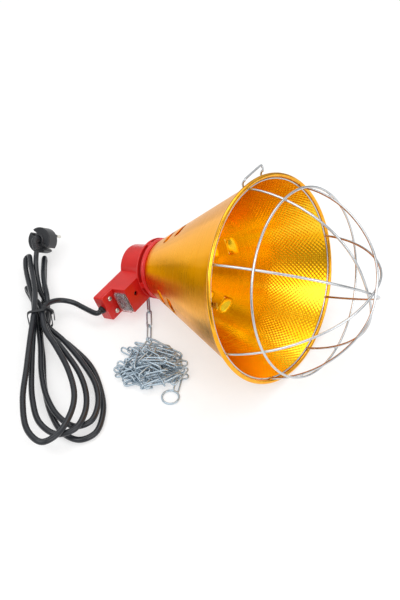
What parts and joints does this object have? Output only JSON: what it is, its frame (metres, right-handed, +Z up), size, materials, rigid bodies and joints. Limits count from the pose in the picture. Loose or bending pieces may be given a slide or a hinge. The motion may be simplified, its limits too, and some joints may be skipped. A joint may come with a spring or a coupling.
{
  "type": "heat lamp fixture",
  "caption": "Brooder heat lamp lying on its side: cone reflector, hinged wire guard, switched cap with side arm, hanging chain, and coiled supply cable with plug.",
  "frame": {"origin": "centre of the bounding box's base, on the floor the lamp lies on", "axes": "+Z up; +Y away from the viewer of the picture; the reflector opens toward +X, -Y and slightly up"},
  "size_m": [0.3882, 0.3196, 0.2003],
  "materials": {
    "reflector_gold": "gold-anodised spun sheet, fine concentric brushing outside, bright embossed inside",
    "zinc_wire": "bright zinc plating",
    "sheet_steel": "plain sheet steel, satin",
    "cap_red": "moulded, smooth, slight gloss",
    "black_plastic": "moulded, fine grain",
    "cable_black": "extruded jacket, slight sheen",
    "boot_clear": "soft clear membrane",
    "porcelain": "white glazed porcelain",
    "brass": "bright pressed sheet",
    "plug_pins": "nickel-plated brass",
    "lead_brown": "extruded insulation",
    "lead_blue": "extruded insulation"
  },
  "bodies": {
    "lamp": {"cable": "cable_black", "cable_gland": "black_plastic", "cable_tie": "black_plastic", "cap_collar": "cap_red", "cap_housing": "cap_red", "centre_contact": "brass", "chain_end_ring": "zinc_wire", "chain_eye": "zinc_wire", "chain_heap": "zinc_wire", "cord_grip_cover": "cap_red", "cover_screw_1": "zinc_wire", "cover_screw_2": "zinc_wire", "guard_catch": "sheet_steel", "housing_screw": "zinc_wire", "lampholder_body": "porcelain", "lampholder_bracket": "sheet_steel", "lampholder_screw_1": "zinc_wire", "lampholder_screw_2": "zinc_wire", "lampholder_shell": "brass", "lampholder_skirt": "sheet_steel", "live_lead": "lead_brown", "neutral_lead": "lead_blue", "plug_body": "black_plastic", "plug_boot": "black_plastic", "plug_pin_1": "plug_pins", "plug_pin_2": "plug_pins", "power_diode": "black_plastic", "reflector_cone": "reflector_gold", "reflector_screw_1": "zinc_wire", "reflector_screw_2": "zinc_wire", "reflector_screw_3": "zinc_wire", "rocker_switch_body": "black_plastic", "switch_boot": "boot_clear", "switch_lead": "cable_black", "switch_return_lead": "cable_black", "terminal_block": "porcelain"},
    "guard": {"guard_base_ring": "zinc_wire", "guard_middle_ring": "zinc_wire", "guard_rib_1": "zinc_wire", "guard_rib_2": "zinc_wire", "guard_rib_3": "zinc_wire", "guard_rib_4": "zinc_wire", "guard_hinge_loop": "zinc_wire"},
    "rocker": {"rocker": "black_plastic"},
    "chain_link_1": {"chain_link_1": "zinc_wire"},
    "chain_link_2": {"chain_link_2": "zinc_wire"},
    "chain_link_3": {"chain_link_3": "zinc_wire"}
  },
  "joints": [
    {"name": "guard_hinge", "type": "hinge", "parent": "lamp", "child": "guard", "pos_m": [0.07149, 0.01839, 0.19225], "axis": [-0.6198, -0.774, 0.1292], "range_deg": [0, 80]},
    {"name": "rocker_pivot", "type": "hinge", "parent": "lamp", "child": "rocker", "pos_m": [-0.06364, 0.03396, 0.02347], "axis": [-0.754, 0.5418, -0.3714], "range_deg": [0, 16]},
    {"name": "chain_bow", "type": "hinge", "parent": "lamp", "child": "chain_link_1", "pos_m": [-0.04131, 0.05641, 0.00551], "axis": [0, 0, 1], "range_deg": [-12, 12]},
    {"name": "chain_pivot_2", "type": "hinge", "parent": "chain_link_1", "child": "chain_link_2", "pos_m": [-0.03901, 0.03454, 0.00491], "axis": [0, 0, 1], "range_deg": [-12, 12]},
    {"name": "chain_pivot_3", "type": "hinge", "parent": "chain_link_2", "child": "chain_link_3", "pos_m": [-0.03748, 0.0126, 0.00434], "axis": [0, 0, 1], "range_deg": [-12, 12]}
  ],
  "couplings": [
    {"joint": "chain_pivot_2", "follows": "chain_bow", "ratio": -1},
    {"joint": "chain_pivot_3", "follows": "chain_bow", "ratio": -1}
  ]
}
